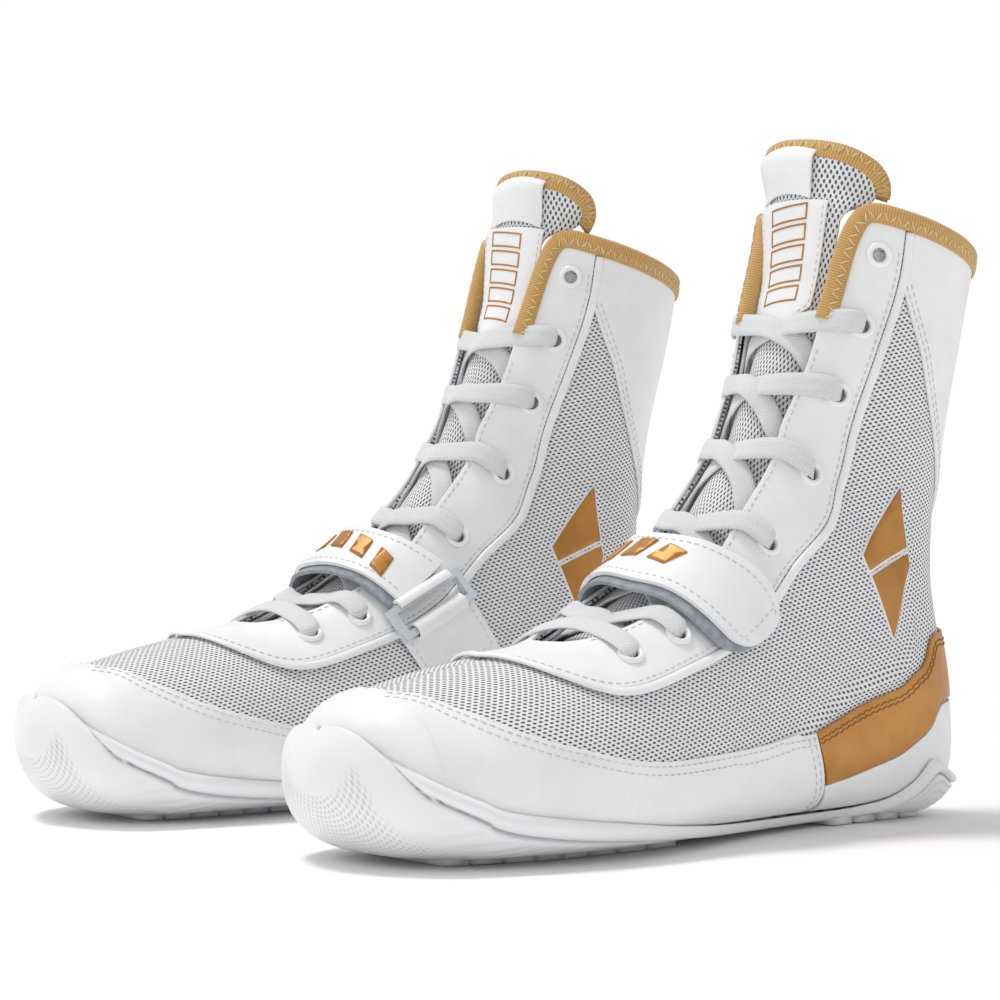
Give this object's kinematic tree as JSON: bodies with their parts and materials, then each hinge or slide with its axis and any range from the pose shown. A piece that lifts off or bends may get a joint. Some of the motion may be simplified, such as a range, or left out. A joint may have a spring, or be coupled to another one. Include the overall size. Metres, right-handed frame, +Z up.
{
  "type": "boxing boots",
  "caption": "Pair of white high-top boxing boots with gold heel band and collar binding, lace front, instep strap through a loop ring, and wrap-up rubber soles.",
  "frame": {"origin": "middle of the pair's box, on the floor under the soles", "axes": "+Z up, toes towards -Y, the left boot on the +X side and the right boot on the -X side"},
  "size_m": [0.2796, 0.31, 0.2467],
  "materials": {
    "rubber_sole": "smooth matt moulded white rubber",
    "tread": "matt moulded white rubber",
    "board": "pressed fibre board",
    "sock_foam": "textile covered foam",
    "stiffener": "thermoformed sheet",
    "lining": "padded white textile",
    "mesh": "white knitted mesh with dark openings",
    "white_leather": "smooth white synthetic leather",
    "gold_leather": "smooth gold synthetic leather",
    "binding": "ribbed gold grosgrain",
    "eyelet_white": "white moulded",
    "lace_white": "flat white herringbone lace",
    "tongue_mesh": "open white mesh over foam",
    "strap_hook": "grey hook and loop backing",
    "ring_plastic": "pale grey moulded ring"
  },
  "bodies": {
    "left_boot": {"left_outsole": "rubber_sole", "left_forefoot_tread": "tread", "left_heel_tread": "tread", "left_insole_board": "board", "left_sockliner": "sock_foam", "left_toe_puff": "stiffener", "left_heel_counter": "stiffener", "left_toe_lining": "lining", "left_lateral_lining": "lining", "left_medial_lining": "lining", "left_vamp_mesh": "mesh", "left_lateral_mesh": "mesh", "left_medial_mesh": "mesh", "left_mudguard": "white_leather", "left_heel_band": "gold_leather", "left_heel_cover": "white_leather", "left_upper_heel_panel": "white_leather", "left_lateral_eyestay": "white_leather", "left_medial_eyestay": "white_leather", "left_piping": "white_leather", "left_collar_binding": "binding", "left_eyelets": "eyelet_white", "left_lace": "lace_white", "left_tongue": "tongue_mesh", "left_strap_base": "strap_hook", "left_ring_keeper": "white_leather"},
    "left_tongue_top_body": {"left_tongue_top": "tongue_mesh", "left_pull_tab": "white_leather"},
    "left_ring_body": {"left_ring": "ring_plastic"},
    "left_strap_flap_body": {"left_strap_flap": "white_leather"},
    "right_boot": {"right_outsole": "rubber_sole", "right_forefoot_tread": "tread", "right_heel_tread": "tread", "right_insole_board": "board", "right_sockliner": "sock_foam", "right_toe_puff": "stiffener", "right_heel_counter": "stiffener", "right_toe_lining": "lining", "right_lateral_lining": "lining", "right_medial_lining": "lining", "right_vamp_mesh": "mesh", "right_lateral_mesh": "mesh", "right_medial_mesh": "mesh", "right_mudguard": "white_leather", "right_heel_band": "gold_leather", "right_heel_cover": "white_leather", "right_upper_heel_panel": "white_leather", "right_lateral_eyestay": "white_leather", "right_medial_eyestay": "white_leather", "right_piping": "white_leather", "right_collar_binding": "binding", "right_eyelets": "eyelet_white", "right_lace": "lace_white", "right_tongue": "tongue_mesh", "right_strap_base": "strap_hook", "right_ring_keeper": "white_leather"},
    "right_tongue_top_body": {"right_tongue_top": "tongue_mesh", "right_pull_tab": "white_leather"},
    "right_ring_body": {"right_ring": "ring_plastic"},
    "right_strap_flap_body": {"right_strap_flap": "white_leather"}
  },
  "joints": [
    {"name": "right_boot_lift", "type": "slide", "parent": "left_boot", "child": "right_boot", "axis": [0, 0, 1], "range_m": [0, 0.3]},
    {"name": "left_tongue_flex", "type": "hinge", "parent": "left_boot", "child": "left_tongue_top_body", "pos_m": [0.08065, 0.07082, 0.18788], "axis": [0.9986, 0.0523, 0], "range_deg": [0, 30]},
    {"name": "left_ring_swing", "type": "hinge", "parent": "left_boot", "child": "left_ring_body", "pos_m": [0.04377, 0.01549, 0.07292], "axis": [-0.0315, -0.9011, -0.4325], "range_deg": [0, 10]},
    {"name": "left_strap_open", "type": "hinge", "parent": "left_ring_body", "child": "left_strap_flap_body", "pos_m": [0.04824, 0.01102, 0.08192], "axis": [-0.0315, -0.9011, -0.4325], "range_deg": [0, 90]},
    {"name": "right_tongue_flex", "type": "hinge", "parent": "right_boot", "child": "right_tongue_top_body", "pos_m": [-0.08065, 0.05882, 0.18788], "axis": [0.9986, -0.0523, 0], "range_deg": [0, 30]},
    {"name": "right_ring_swing", "type": "hinge", "parent": "right_boot", "child": "right_ring_body", "pos_m": [-0.04377, 0.00349, 0.07292], "axis": [-0.0315, 0.9011, 0.4325], "range_deg": [0, 10]},
    {"name": "right_strap_open", "type": "hinge", "parent": "right_ring_body", "child": "right_strap_flap_body", "pos_m": [-0.04824, -0.00098, 0.08192], "axis": [-0.0315, 0.9011, 0.4325], "range_deg": [0, 90]}
  ]
}
